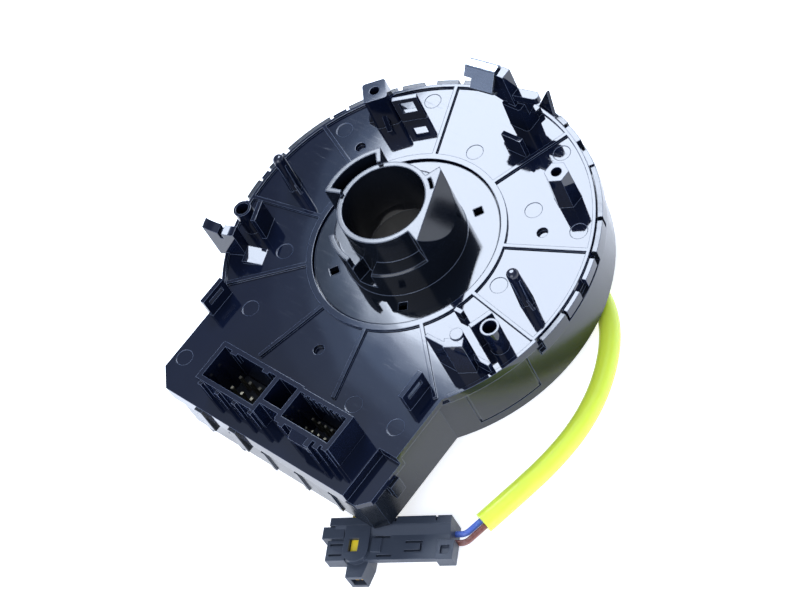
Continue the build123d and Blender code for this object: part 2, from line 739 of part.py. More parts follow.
    # Latch block and triangular lug
    with BuildSketch(turned(*polar(latch_radius, latch_angle), field_z, latch_angle - 90)):
        Rectangle(latch_size[0], latch_size[1])
    extrude(amount=latch_size[2])
    lug_foot = polar(tab_radius - lug_thickness, lug_angle)
    lug_out = polar(cos(radians(lug_lean)), lug_angle)
    with BuildSketch(Plane(origin=(*lug_foot, field_z - rib_join), x_dir=(-lug_out[1], lug_out[0], 0),
                           z_dir=(*lug_out, -sin(radians(lug_lean))))):
        with BuildLine():
            Polyline((-lug_half, 0), (lug_half, 0), (0, lug_height), close=True)
        make_face()
    extrude(amount=lug_thickness / 2, both=True)
    # Opening for the socket housing
    with BuildSketch(Plane.XY.offset(plate_under_z)):
        for bounds in (left_socket, right_socket):
            add(bounded(*bounds))
        add(bounded(left_socket[1] - socket_wall, right_socket[0] + socket_wall, bridge_front - socket_wall,
                    bridge_back))
    extrude(amount=plate_thickness, mode=Mode.SUBTRACT)
back_plate.part.label = "back_plate"
export_step(back_plate.part, "parts/back_plate.step")

# Housing of the two harness sockets, seated in the plate's opening
shroud_height = field_z + socket_height - block_top_z

with BuildPart() as socket_housing:
    for bounds in (left_socket, right_socket):
        with BuildSketch(Plane.XY.offset(block_top_z)):
            add(bounded(*bounds))
        extrude(amount=shroud_height)
    for y in (bridge_back, bridge_front):
        with BuildSketch(Plane.XY.offset(field_z)):
            add(bounded(left_socket[1] - socket_wall, right_socket[0] + socket_wall, y - socket_wall, y))
        extrude(amount=socket_height)
    with BuildSketch(Plane.XY.offset(plate_under_z)):
        add(bounded(left_socket[1] - socket_wall, right_socket[0] + socket_wall, bridge_front - socket_wall,
                    bridge_back))
    extrude(amount=plate_thickness)
    with BuildSketch(Plane.XY.offset(field_z)):
        for step in left_rib_steps:
            with Locations((left_socket[0] + step, left_socket[2])):
                Rectangle(front_rib_width, 2 * front_rib_depth)
    extrude(amount=socket_height - front_rib_depth)
    with BuildSketch(Plane.XY.offset(field_z)):
        for step, depth in right_ribs:
            with Locations((right_socket[0] + step, right_socket[2])):
                Rectangle(right_rib_width, 2 * depth)
    extrude(amount=socket_height)
    with BuildSketch(upright(right_middle, right_socket[2], field_z, -90)):
        with BuildLine():
            Polyline((0, 0), (latch_ramp_depth / 2, 0),
                     (latch_ramp_depth, socket_height - 2 * latch_ramp_drop),
                     (latch_ramp_depth, socket_height - latch_ramp_drop), (0, socket_height), close=True)
        make_face()
    extrude(amount=latch_ramp_width / 2, both=True)
    for bounds in (left_socket, right_socket):
        with BuildSketch(Plane.XY.offset(block_top_z)):
            add(bounded(*inset_bounds(bounds, socket_wall)))
        extrude(amount=shroud_height, mode=Mode.SUBTRACT)
    # Teeth inside the right socket and a key inside the left one
    with BuildSketch(Plane.XY.offset(field_z + socket_height - tooth_height)):
        with Locations((right_middle, right_socket[3] - socket_wall)):
            with GridLocations(tooth_pitch, 0, tooth_count, 1):
                Rectangle(tooth_width, 2 * tooth_depth)
        for step in key_steps:
            with Locations((left_socket[0] + step, left_socket[3] - socket_wall)):
                Rectangle(key_width, 2 * key_depth)
    extrude(amount=tooth_height)
socket_housing.part.label = "socket_housing"
export_step(socket_housing.part, "parts/socket_housing.step")

# Rotor, column side: ring face, spool wall, sleeve and cancelling collar
ring_radius = bore_radius - rotor_gap
collar_top_z = field_z + collar_height
ring_under_z = field_z - ring_thickness
flange_bottom_z = case_floor_z + running_gap
flange_top_z = flange_bottom_z + disc_flange_thickness
spool_flange_top_z = plate_under_z - running_gap

with BuildPart() as hub_collar:
    with BuildSketch(Plane.XY.offset(ring_under_z)):
        Circle(ring_radius)
    extrude(amount=ring_thickness)
    with BuildSketch(Plane.XY.offset(flange_top_z)):
        Circle(ring_radius)
        Circle(ring_radius - spool_wall, mode=Mode.SUBTRACT)
    extrude(amount=field_z - flange_top_z)
    with BuildSketch(Plane.XY.offset(spool_flange_top_z - spool_flange_thickness)):
        Circle(spool_flange_radius)
        Circle(ring_radius - spool_wall, mode=Mode.SUBTRACT)
    extrude(amount=spool_flange_thickness)
    with BuildSketch(Plane.XY.offset(field_z)):
        Circle(sleeve_radius)
    extrude(amount=sleeve_height)
    chamfer(hub_collar.edges().filter_by(GeomType.CIRCLE).sort_by(Axis.Z)[-1], length=sleeve_chamfer)
    with BuildSketch(Plane.XY.offset(field_z)):
        Circle(collar_radius)
    extrude(amount=collar_height)
    # Prong: a sector with an inclined flat outer face and a pocket by its tip
    with BuildSketch(Plane.XY.offset(field_z)):
        add(sector(column_bore_radius, sleeve_radius, prong_angles))
    extrude(amount=collar_height)
    with BuildSketch(radial_plane(prong_cut_azimuth)):
        with BuildLine():
            Polyline(((collar_radius + prong_lip), collar_top_z), (sleeve_radius, field_z + sleeve_height),
                     (2 * sleeve_radius, field_z + sleeve_height), (2 * sleeve_radius, 2 * collar_top_z),
                     ((collar_radius + prong_lip), 2 * collar_top_z), close=True)
        make_face()
    extrude(amount=sleeve_radius, both=True, mode=Mode.SUBTRACT)
    with BuildSketch(Plane.XY.offset(collar_top_z - sleeve_height / 2)):
        add(sector(collar_radius, collar_radius + prong_pocket, prong_pocket_angles))
    extrude(amount=sleeve_height, mode=Mode.SUBTRACT)
    # Standing walls on the sleeve's left side
    with BuildSketch(Plane.XY.offset(field_z)):
        add(sector(sleeve_radius - outer_wall_thickness, sleeve_radius, outer_wall_angles))
        for angle, turn in zip(outer_wall_angles, (1, -1)):
            edge = angle + turn * outer_wall_web_turn
            add(sector(collar_radius - rib_join, sleeve_radius, sorted((angle, edge))))
    extrude(amount=outer_wall_height)
    with BuildSketch(Plane.XY.offset(field_z)):
        add(sector(sleeve_radius - outer_wall_thickness, sleeve_radius, low_wall_angles))
    extrude(amount=low_wall_height)
    with BuildSketch(Plane.XY.offset(field_z + sleeve_height - notch_depth)):
        add(sector(collar_radius, 2 * collar_radius, notch_angles))
    extrude(amount=notch_depth, mode=Mode.SUBTRACT)
    # Column bore with two keys, and the four square holes
    with BuildSketch(Plane.XY.offset(ring_under_z)):
        Circle(column_bore_radius)
    extrude(amount=2 * collar_height, mode=Mode.SUBTRACT)
    with BuildSketch(Plane.XY.offset(ring_under_z)):
        for angle in square_hole_angles:
            with PolarLocations(square_hole_circle, 1, start_angle=angle):
                Rectangle(square_hole, square_hole)
    extrude(amount=ring_thickness, mode=Mode.SUBTRACT)
hub_collar.part.label = "hub_collar"
export_step(hub_collar.part, "parts/hub_collar.step")

# Rotor, wheel side: disc, hub tube, standing ring, ribs, drive pins, socket and lead housing
housing_face = lead_route[0]
housing_turn = degrees(atan2(lead_route[1][1] - lead_route[0][1], lead_route[1][0] - lead_route[0][0]))
socket_place = (0, wheel_socket_centre_y)

with BuildPart() as rotor_disc:
    with BuildSketch(Plane.XY.offset(ride_height)):
        Circle(disc_radius)
    extrude(amount=flange_top_z - ride_height)
    with BuildSketch(Plane.XY.offset(flange_bottom_z)):
        Circle(disc_flange_radius)
    extrude(amount=disc_flange_thickness)
    with BuildSketch():
        Circle(stand_radius)
        Circle(stand_radius - stand_wall, mode=Mode.SUBTRACT)
        add(sector(stand_radius - 2 * stand_wall, stand_radius + stand_wall, stand_notch),
            mode=Mode.SUBTRACT)
        Circle(hub_tube_radius)
    extrude(amount=ride_height)
    with BuildSketch(Plane.XY.offset(ride_height - wheel_rib_height)):
        with PolarLocations((wheel_hub_radius + stand_radius) / 2 - rib_join, wheel_rib_count,
                            start_angle=wheel_rib_start):
            Rectangle(stand_radius - wheel_hub_radius, wheel_rib_width)
        Circle(wheel_hub_radius)
    extrude(amount=wheel_rib_height)
    with BuildSketch(Plane.XY.offset(drive_pin_clear)):
        for angle in drive_pin_angles:
            with Locations(polar(drive_pin_circle, angle)):
                Circle(drive_pin_radius)
    extrude(amount=ride_height - drive_pin_clear)
    # Shroud of the wheel-side socket
    with BuildSketch(Plane.XY.offset(wheel_socket_clear)):
        with Locations(socket_place):
            Rectangle(wheel_socket_size[0] + 2 * wheel_socket_wall,
                      wheel_socket_size[1] + 2 * wheel_socket_wall)
    extrude(amount=ride_height - wheel_socket_clear)
    with BuildSketch():
        with Locations(socket_place):
            Rectangle(*wheel_socket_size)
    extrude(amount=flange_top_z, mode=Mode.SUBTRACT)
    # Lead housing, with a recess for its cover
    with BuildSketch(turned(*housing_face, lead_cover_clear, housing_turn)):
        Rectangle(housing_length, housing_width, align=(Align.MAX, Align.CENTER))
    extrude(amount=ride_height - lead_cover_clear)
    with BuildSketch(turned(*housing_face, 0, housing_turn)):
        with Locations((-housing_wall, 0)):
            Rectangle(housing_length - 2 * housing_wall, housing_width - 2 * housing_wall,
                      align=(Align.MAX, Align.CENTER))
    extrude(amount=lead_cover_height, mode=Mode.SUBTRACT)
    # Hub tube up to the ring face, then the bore through all of it
    with BuildSketch(Plane.XY.offset(ride_height)):
        Circle(hub_tube_radius)
    extrude(amount=ring_under_z - ride_height)
    with BuildSketch():
        Circle(column_bore_radius)
    extrude(amount=ring_under_z, mode=Mode.SUBTRACT)
rotor_disc.part.label = "rotor_disc"
export_step(rotor_disc.part, "parts/rotor_disc.step")

# Cover in the lead housing's recess
with BuildPart() as lead_cover:
    with BuildSketch(turned(*housing_face, lead_cover_clear, housing_turn)):
        with Locations((-housing_wall - fit_clear, 0)):
            Rectangle(housing_length - 2 * (housing_wall + fit_clear),
                      housing_width - 2 * (housing_wall + fit_clear), align=(Align.MAX, Align.CENTER))
    extrude(amount=lead_cover_height - lead_cover_clear)
    with BuildSketch(turned(*housing_face, lead_cover_clear, housing_turn)):
        with Locations((-2 * housing_wall - fit_clear, 0)):
            Rectangle(housing_length - 4 * housing_wall - 2 * fit_clear,
                      housing_width - 4 * housing_wall - 2 * fit_clear, align=(Align.MAX, Align.CENTER))
    extrude(amount=lead_cover_height / 3, mode=Mode.SUBTRACT)
lead_cover.part.label = "lead_cover"
export_step(lead_cover.part, "parts/lead_cover.step")

# Film over the disc's flange, under the wound cable
film_top_z = flange_top_z + film_thickness

with BuildPart() as cable_film:
    with BuildSketch(Plane.XY.offset(flange_top_z)):
        Circle(film_radii[1])
        Circle(film_radii[0], mode=Mode.SUBTRACT)
    extrude(amount=film_thickness)
cable_film.part.label = "cable_film"
export_step(cable_film.part, "parts/cable_film.step")

# Flat cable: half turns of growing radius about two centres, thickened and raised
cable_bottom_z = film_top_z + cable_lift
cable_height = spool_flange_top_z - spool_flange_thickness - cable_top_gap - cable_bottom_z

with BuildPart() as flat_cable:
    with BuildSketch(Plane.XY.offset(cable_bottom_z)):
        with BuildLine() as winding:
            for half in range(2 * cable_turns):
                radius = cable_inner_radius + cable_pitch / 4 + half * cable_pitch / 2
                centre = (cable_pitch / 4 * (-1) ** half, 0)
                CenterArc(centre, radius, 180 * (half % 2), 180)
        trace(line_width=cable_thickness)
    extrude(amount=cable_height)
flat_cable.part.label = "flat_cable"
export_step(flat_cable.part, "parts/flat_cable.step")

# Clamp that holds the cable's outer end against the case's arc wall
with BuildPart() as cable_clamp:
    with BuildSketch(Plane.XY.offset(clamp_heights[0])):
        add(sector(case_radius - case_wall - clamp_reach, case_radius - case_wall, clamp_angles))
    extrude(amount=clamp_heights[1] - clamp_heights[0])
cable_clamp.part.label = "cable_clamp"
export_step(cable_clamp.part, "parts/cable_clamp.step")

# Terminal block in the lobe: feet, body and the two plugs inside the socket shrouds
with BuildPart() as lobe_terminal_block:
    with BuildSketch(Plane.XY.offset(case_floor_z)):
        add(bounded(*block_bounds))
    extrude(amount=block_top_z - case_floor_z)
    for bounds in (left_socket, right_socket):
        with BuildSketch(Plane.XY.offset(block_top_z)):
            add(bounded(*inset_bounds(bounds, socket_wall + block_margin)))
        extrude(amount=socket_floor_z - block_top_z)
    with BuildSketch(Plane.XY.offset(case_floor_z)):
        for bounds in (left_socket, right_socket):
            add(bounded(*inset_bounds(bounds, block_pocket_inset)))
    extrude(amount=pin_strip_z + pin_strip_height - case_floor_z, mode=Mode.SUBTRACT)
    with BuildSketch(Plane.XY.offset(case_floor_z)):
        with Locations(left_middle):
            with GridLocations(*left_pin_pitch, *left_pin_count):
                Rectangle(left_pin_size, left_pin_size)
        with Locations(right_middle_point):
            with GridLocations(*right_pin_pitch, *right_pin_count):
                Rectangle(right_pin_size, right_pin_size)
    extrude(amount=socket_floor_z - case_floor_z, mode=Mode.SUBTRACT)
lobe_terminal_block.part.label = "lobe_terminal_block"
export_step(lobe_terminal_block.part, "parts/lobe_terminal_block.step")


def socket_pins(place, size, pitch, count, strip, label):
    """Rows of socket pins on their moulded strip."""
    with BuildPart() as pins:
        with BuildSketch(Plane.XY.offset(pin_strip_z)):
            add(bounded(*strip))
        extrude(amount=pin_strip_height)
        with BuildSketch(Plane.XY.offset(pin_strip_z)):
            with Locations(place):
                with GridLocations(*pitch, *count):
                    Rectangle(size, size)
        extrude(amount=field_z + pin_tip_rise - pin_strip_z)
    pins.part.label = label
    export_step(pins.part, f"parts/{label}.step")


socket_pins(left_middle, left_pin_size, left_pin_pitch, left_pin_count,
            inset_bounds(left_socket, block_pocket_inset + fit_clear), "left_socket_pins")
socket_pins(right_middle_point, right_pin_size, right_pin_pitch, right_pin_count,
            inset_bounds(right_socket, block_pocket_inset + fit_clear), "right_socket_pins")

# Terminal block inside the hub, over the wheel-side socket, and its pins
hub_block_foot_z = flange_top_z

with BuildPart() as hub_terminal_block:
    with BuildSketch(Plane.XY.offset(hub_block_foot_z)):
        with Locations(socket_place):
            Rectangle(hub_block_size[0], hub_block_size[1])
    extrude(amount=hub_block_height)
    with BuildSketch(Plane.XY.offset(hub_block_foot_z)):
        with Locations(socket_place):
            with GridLocations(*wheel_pin_pitch, *wheel_pin_count):
                Rectangle(wheel_pin_size, wheel_pin_size)
    extrude(amount=hub_block_height, mode=Mode.SUBTRACT)
hub_terminal_block.part.label = "hub_terminal_block"
export_step(hub_terminal_block.part, "parts/hub_terminal_block.step")

with BuildPart() as wheel_socket_pins:
    with BuildSketch(Plane.XY.offset(hub_block_foot_z + hub_block_height)):
        with Locations(socket_place):
            Rectangle(hub_block_size[0], hub_block_size[1])
    extrude(amount=pin_strip_height)
    with BuildSketch(Plane.XY.offset(wheel_pin_tip_z)):
        with Locations(socket_place):
            with GridLocations(*wheel_pin_pitch, *wheel_pin_count):
                Rectangle(wheel_pin_size, wheel_pin_size)
    extrude(amount=hub_block_foot_z + hub_block_height - wheel_pin_tip_z)
wheel_socket_pins.part.label = "wheel_socket_pins"
export_step(wheel_socket_pins.part, "parts/wheel_socket_pins.step")

# Snap ring on the hub tube, under the ring face
with BuildPart() as snap_ring:
    with BuildSketch(Plane.XY.offset(ring_under_z - snap_ring_height)):
        Circle(hub_tube_radius + snap_ring_width)
        Circle(hub_tube_radius, mode=Mode.SUBTRACT)
        add(sector(column_bore_radius, 2 * hub_tube_radius, snap_ring_opening), mode=Mode.SUBTRACT)
    extrude(amount=snap_ring_height)
snap_ring.part.label = "snap_ring"
export_step(snap_ring.part, "parts/snap_ring.step")

# Steel clip folded over the clip bar: back leg, top, sloping front and lip
bar_top = clip_bar_heights[1]
clip_back = clip_bar_depth / 2
clip_shift = clip_bar_length - clip_end_gap - clip_width / 2
clip_across = polar(1, clip_bar_turn)
clip_middle = (clip_post[0] - clip_shift * clip_across[0], clip_post[1] - clip_shift * clip_across[1])
clip_front_y = clip_back + clip_front_run[0]
clip_front_z = bar_top - clip_front_run[1]

with BuildPart() as spring_clip:
    with BuildSketch(upright(*clip_middle, field_z, clip_bar_turn - 90)):
        with BuildLine():
            fold = Polyline((-clip_back, bar_top - clip_back_drop), (-clip_back, bar_top),
                            (clip_back, bar_top),
                            (clip_front_y, clip_front_z),
                            (clip_front_y - clip_lip[0], clip_front_z - clip_lip[1]))
            offset(fold, amount=clip_sheet, side=Side.RIGHT)
        make_face()
    extrude(amount=clip_width / 2, both=True)
    with BuildSketch(upright(*clip_middle, field_z, clip_bar_turn)):
        with Locations((-clip_width / 2, clip_front_z)):
            Rectangle(2 * clip_cut[0], 2 * clip_cut[1])
    extrude(amount=clip_width, mode=Mode.SUBTRACT)
spring_clip.part.label = "spring_clip"
export_step(spring_clip.part, "parts/spring_clip.step")

# Airbag lead: its sleeve follows the route with tangent bends
def bend_radii(points):
    """Largest bend at each inner point that leaves a tenth of the shorter run straight."""
    radii = []
    for before, here, after in zip(points, points[1:], points[2:]):
        run_in = (here[0] - before[0], here[1] - before[1])
        run_out = (after[0] - here[0], after[1] - here[1])
        cross = run_in[0] * run_out[1] - run_in[1] * run_out[0]
        dot = run_in[0] * run_out[0] + run_in[1] * run_out[1]
        half_turn = abs(atan2(cross, dot)) / 2
        radii.append(bend_share * min(hypot(*run_in), hypot(*run_out)) / tan(half_turn))
    return radii


def tube_along(points, diameter, label):
    """Round tube or wire along level points, with a tangent arc at each inner point."""
    radii = bend_radii(points)
    with BuildPart() as tube:
        with BuildLine() as path:
            FilletPolyline(*points, radius=radii)
        route = path.wires()[0]
        with BuildSketch(Plane(origin=route @ 0, z_dir=route % 0)):
            Circle(diameter / 2)
        sweep(path=route)
    tube.part.label = label
    export_step(tube.part, f"parts/{label}.step")
    section = pi * diameter ** 2 / 4
    print(label, "length", round(route.length, 2), "radii", [round(r, 1) for r in radii],
          "volume share", round(tube.part.volume / (section * route.length), 4))


tube_along([(x, y, lead_z) for x, y in lead_route], sleeve_diameter, "airbag_sleeve")

# Squib connector
along = (cos(radians(connector_turn)), sin(radians(connector_turn)))
across = (-along[1], along[0])


def connector_plane(height=0):
    """Level plane in the connector's own axes."""
    return turned(*connector_corner, height, connector_turn)


def connector_point(x, y):
    """Point of the connector's own axes in the part's frame."""
    return (connector_corner[0] + x * along[0] + y * across[0],
            connector_corner[1] + x * along[1] + y * across[1])


def connector_section(x):
    """Vertical plane across the connector: x runs towards the drum and y is up."""
    return Plane(origin=(*connector_point(x, 0), 0), x_dir=(*across, 0), z_dir=(*along, 0))


boss_radius = (boss_bounds[1] - boss_bounds[0]) / 2
boss_centre = (boss_bounds[0] + boss_radius, boss_bounds[2])
lock_slot = (lock_window[0], lock_window[1], lock_window[2], cover_bounds[3] + lock_gap)

with BuildPart() as connector_body:
    # Main block, with a front face that draws back below, and the shoulder under the cover
    with BuildSketch(connector_section(connector_main[0])):
        with BuildLine():
            Polyline((connector_main[2], connector_main[4]),
                     (connector_main[2], connector_main[4] - connector_keel[0]),
                     (connector_main[2] + connector_keel[1], 0), (connector_main[3], 0),
                     (connector_main[3], connector_main[4]), close=True)
        make_face()
    extrude(amount=connector_main[1] - connector_main[0])
    with BuildSketch(connector_section(connector_shoulder[0])):
        with BuildLine():
            Polyline((connector_shoulder[2], 0), (connector_shoulder[2], connector_shoulder[4]),
                     (connector_shoulder[3], connector_top), (connector_shoulder[3], 0), close=True)
        make_face()
    extrude(amount=connector_shoulder[1] - connector_shoulder[0])
    for *bounds, top in (connector_foot, connector_end, connector_ear):
        with BuildSketch(connector_plane(connector_main[4] / 2)):
            add(bounded(*bounds))
        extrude(amount=top - connector_main[4] / 2)
    # Boss over the lock's channel, round at its front
    with BuildSketch(connector_plane(nose_floor)):
        add(bounded(*boss_bounds))
        with Locations(boss_centre):
            Circle(boss_radius)
    extrude(amount=connector_top - nose_floor)
    with BuildSketch(connector_plane()):
        with BuildLine():
            Polyline((nose_block[0], nose_block[3] + connector_keel[1]), (nose_block[0], nose_block[2]),
                     (nose_block[1] - nose_taper, nose_block[2]), (nose_block[1], nose_block[3]),
                     (nose_block[1], nose_block[3] + connector_keel[1]), close=True)
        make_face()
    extrude(amount=nose_block[4])
    # Contact chamber in the nose
    with BuildSketch(connector_plane(nose_floor)):
        add(bounded(*contact_chamber))
    extrude(amount=contact_chamber_height, mode=Mode.SUBTRACT)
    # Latch arm freed by a slot on three sides, panel, side slots, end slots and the foot's hole
    with BuildSketch(connector_plane(connector_main[4] - slot_depth)):
        add(bounded(*latch_bounds))
        add(bounded(latch_bounds[0], latch_bounds[1] - latch_arm, latch_bounds[2] + latch_arm,
                    latch_bounds[3] - latch_arm), mode=Mode.SUBTRACT)
        for left, right, y in side_slots:
            add(bounded(left, right, y, y + slot_width))
    extrude(amount=2 * slot_depth, mode=Mode.SUBTRACT)
    with BuildSketch(connector_plane(connector_main[4])):
        add(bounded(*latch_panel))
    extrude(amount=(connector_top - connector_main[4]) / 2)
    with BuildSketch(connector_plane(connector_end[4] - slot_depth)):
        for left, right, y in end_slots:
            add(bounded(left, right, y, y + slot_width))
    extrude(amount=2 * slot_depth, mode=Mode.SUBTRACT)
    with BuildSketch(connector_plane(connector_foot[4] - slot_depth)):
        with Locations(((connector_foot[0] + connector_foot[1]) / 2,
                        (connector_foot[2] + connector_foot[3]) / 2)):
            Rectangle(foot_hole, foot_hole)
    extrude(amount=2 * slot_depth, mode=Mode.SUBTRACT)
    # Channel and window of the lock
    with BuildSketch(connector_plane(lock_heights[0])):
        add(bounded(*lock_slot))
    extrude(amount=lock_heights[1] - lock_heights[0], mode=Mode.SUBTRACT)
    with BuildSketch(connector_plane(lock_heights[0])):
        add(bounded(*lock_window))
    extrude(amount=connector_top, mode=Mode.SUBTRACT)
connector_body.part.label = "connector_body"
export_step(connector_body.part, "parts/connector_body.step")

with BuildPart() as connector_cover:
    with BuildSketch(connector_plane()):
        add(bounded(*cover_bounds))
    extrude(amount=connector_top)
    with BuildSketch(connector_plane(lock_heights[0])):
        add(bounded(*lock_slot))
    extrude(amount=lock_heights[1] - lock_heights[0], mode=Mode.SUBTRACT)
    with BuildSketch(connector_plane(connector_top - slot_depth)):
        for x in cover_notches:
            add(bounded(x, x + slot_width, cover_bounds[2] + cover_lip, cover_bounds[3] + lock_gap))
    extrude(amount=slot_depth, mode=Mode.SUBTRACT)
connector_cover.part.label = "connector_cover"
export_step(connector_cover.part, "parts/connector_cover.step")

# Lock: a bar in the channel, seen through the window, and a crosspiece behind the cover
crosspiece_y = cover_bounds[3] + lock_gap

with BuildPart() as connector_lock:
    with BuildSketch(connector_plane(lock_heights[0] + lock_clear)):
        add(bounded(lock_window[0] + lock_clear, lock_window[1] - lock_clear, lock_window[2] + lock_clear,
                    crosspiece_y + lock_crosspiece[2]))
        add(bounded(lock_crosspiece[0], lock_crosspiece[1], crosspiece_y, crosspiece_y + lock_crosspiece[2]))
    extrude(amount=lock_heights[1] - lock_heights[0] - 2 * lock_clear)
connector_lock.part.label = "connector_lock"
export_step(connector_lock.part, "parts/connector_lock.step")

with BuildPart() as squib_contacts:
    with BuildSketch(connector_plane(nose_floor)):
        add(bounded(contact_chamber[0], contact_chamber[1], contact_chamber[3] - contact_size[0],
                    contact_chamber[3]))
    extrude(amount=contact_chamber_height)
    with BuildSketch(connector_plane(nose_floor + contact_lift)):
        for x in contact_places:
            add(bounded(x, x + contact_size[0], contact_chamber[3] - contact_size[1], contact_chamber[3]))
    extrude(amount=contact_size[2])
squib_contacts.part.label = "squib_contacts"
export_step(squib_contacts.part, "parts/squib_contacts.step")


def meeting_point(start, heading, end, back):
    """Where a ray from the start meets a ray running back from the end."""
    turn = heading[0] * back[1] - heading[1] * back[0]
    reach = ((end[0] - start[0]) * back[1] - (end[1] - start[1]) * back[0]) / turn
    return (start[0] + reach * heading[0], start[1] + reach * heading[1])


# Two wires from the connector's end into the sleeve's end
sleeve_end = lead_route[-1]
last_run = (sleeve_end[0] - lead_route[-2][0], sleeve_end[1] - lead_route[-2][1])
sleeve_heading = (last_run[0] / hypot(*last_run), last_run[1] / hypot(*last_run))
sleeve_side = (sleeve_heading[1], -sleeve_heading[0])

for label, share in (("blue_wire", 0.5), ("brown_wire", -0.5)):
    exit_point = connector_point(connector_main[1], wire_exit_y + share * wire_spacing)
    entry_point = (sleeve_end[0] + share * wire_entry_spacing * sleeve_side[0],
                   sleeve_end[1] + share * wire_entry_spacing * sleeve_side[1])
    bend = meeting_point(exit_point, along, entry_point, sleeve_heading)
    tube_along([(*point, lead_z) for point in (exit_point, bend, entry_point)], wire_diameter, label)
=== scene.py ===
# %% [markdown]
# # A steering clock spring, dressed for its portrait
# The solids of this part come ready made from the CAD model, in one shared frame. This script gives
# each of them the finish of the real piece, replaces the plain lead by a soft one, and sets up the
# camera and the light. The frame is loaded first.

# %% Load the frame
import bpy
import numpy as np
from mathutils import Matrix, Vector


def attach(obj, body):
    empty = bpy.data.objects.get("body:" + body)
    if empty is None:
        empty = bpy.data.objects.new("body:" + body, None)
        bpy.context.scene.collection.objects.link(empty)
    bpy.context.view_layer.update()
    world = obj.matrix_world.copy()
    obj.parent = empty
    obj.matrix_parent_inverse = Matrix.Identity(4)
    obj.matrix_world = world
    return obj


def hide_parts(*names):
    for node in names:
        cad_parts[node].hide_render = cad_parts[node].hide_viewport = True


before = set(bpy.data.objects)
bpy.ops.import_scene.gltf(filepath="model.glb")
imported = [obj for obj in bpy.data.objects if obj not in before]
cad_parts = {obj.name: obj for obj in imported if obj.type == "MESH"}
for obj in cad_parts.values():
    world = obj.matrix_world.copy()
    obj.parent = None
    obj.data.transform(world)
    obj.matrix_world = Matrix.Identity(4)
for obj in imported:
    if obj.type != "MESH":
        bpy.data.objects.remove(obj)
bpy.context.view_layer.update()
MM = 0.001

# %% [markdown]
# ## Camera
# The photograph was taken from above the lobe's right corner with a long lens, and the camera was
# rolled. It is told by the place where the camera stood, the point that it looked at, the roll, and
# the lens. A look-at constraint could aim it, but it can't give the roll, so the axes are worked out:
# the level right-hand axis is turned about the line of sight.

# %% Camera at the photograph's angle
camera_place = Vector((309.6, -154.1, 432.9)) * MM
camera_aim = Vector((10.3, -15.1, 25.7)) * MM
camera_roll = -31.6
camera_lens = 92.59
film_width = 36.0

forward = (camera_aim - camera_place).normalized()
level_right = forward.cross(Vector((0, 0, 1))).normalized()
turn = Matrix.Rotation(np.radians(camera_roll), 3, -forward)
right = turn @ level_right
up = right.cross(forward)
camera_data = bpy.data.cameras.new("portrait_camera")
camera_data.sensor_width = film_width
camera_data.lens = camera_lens
camera = bpy.data.objects.new("portrait_camera", camera_data)
axes = Matrix((right, up, -forward)).transposed().to_4x4()
camera.matrix_world = Matrix.Translation(camera_place) @ axes
bpy.context.scene.collection.objects.link(camera)
bpy.context.scene.camera = camera
print("camera distance", round((camera_aim - camera_place).length, 4))

# %% [markdown]
# ## The airbag lead
# The lead is soft tubing pulled over two wires. It leaves the rotor's housing, lies on the table in
# one easy bend and ends at the plug. A NURBS curve suits it: the control points are the corners of
# the route, and the curve rounds them by itself, so no bend looks like folded wire. The tube is
# swept by the curve's own bevel, of one metre, and each point's radius scales it down to the sleeve.

# %% Lead as a round curve
lead_route = [(0.0315, 0.0226), (0.0410, 0.0204), (0.0496, 0.0144), (0.0558, 0.0056), (0.0600, -0.0050),
              (0.0616, -0.0156), (0.0610, -0.0260), (0.0591, -0.0358), (0.0560, -0.0488)]
lead_height = 0.0029
sleeve_radius = 0.0028


def lying_curve(name, points, height, radius):
    """Round cord lying level: a NURBS curve of order three whose control points are the given ones."""
    data = bpy.data.curves.new(name, "CURVE")
    data.dimensions = "3D"
    data.bevel_depth = 1.0
    data.bevel_resolution = 10
    data.resolution_u = 16
    data.use_fill_caps = True
    spline = data.splines.new("NURBS")
    spline.points.add(len(points) - 1)
    for control, (x, y) in zip(spline.points, points):
        control.co = (x, y, height, 1.0)
        control.radius = radius
    spline.order_u = 3
    spline.use_endpoint_u = True
    piece = bpy.data.objects.new(name, data)
    bpy.context.scene.collection.objects.link(piece)
    return piece


sleeve = lying_curve("soft_sleeve", lead_route, lead_height, sleeve_radius)
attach(sleeve, "rotor")
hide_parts("airbag_sleeve")
runs = np.diff(np.array(lead_route), axis=0)
print("lead's straight runs add up to", round(float(np.hypot(runs[:, 0], runs[:, 1]).sum()), 4))

# %% [markdown]
# ## A way to write materials
# Colours are written as the hex values that a paint chart or a picture editor shows. The renderer
# wants linear light, so one function converts them. A second small function adds any node with its
# settings and links, which keeps each material readable as a short list.

# %% Colour and node helpers


def linear(hex_colour):
    """sRGB hex to linear RGBA: a power curve with a straight foot, channel by channel."""
    srgb = np.array([int(hex_colour[i:i + 2], 16) for i in (1, 3, 5)]) / 255
    light = np.where(srgb <= 0.04045, srgb / 12.92, ((srgb + 0.055) / 1.055) ** 2.4)
    return (*light, 1.0)


def node(tree, kind, links=(), **settings):
    """Add a node: settings name its properties or its sockets, links pair a socket with a source."""
    made = tree.nodes.new(kind)
    for name, value in settings.items():
        if hasattr(made, name):
            setattr(made, name, value)
        else:
            made.inputs[name.replace("_", " ")].default_value = value
    for socket, source in links:
        tree.links.new(source, made.inputs[socket])
    return made


def fresh_material(name):
    """Empty material with its shader and output, and object coordinates to hang patterns on."""
    material = bpy.data.materials.new(name)
    material.use_nodes = True
    tree = material.node_tree
    tree.nodes.clear()
    shader = tree.nodes.new("ShaderNodeBsdfPrincipled")
    output = tree.nodes.new("ShaderNodeOutputMaterial")
    tree.links.new(shader.outputs["BSDF"], output.inputs["Surface"])
    place = tree.nodes.new("ShaderNodeTexCoord").outputs["Object"]
    return material, tree, shader, place


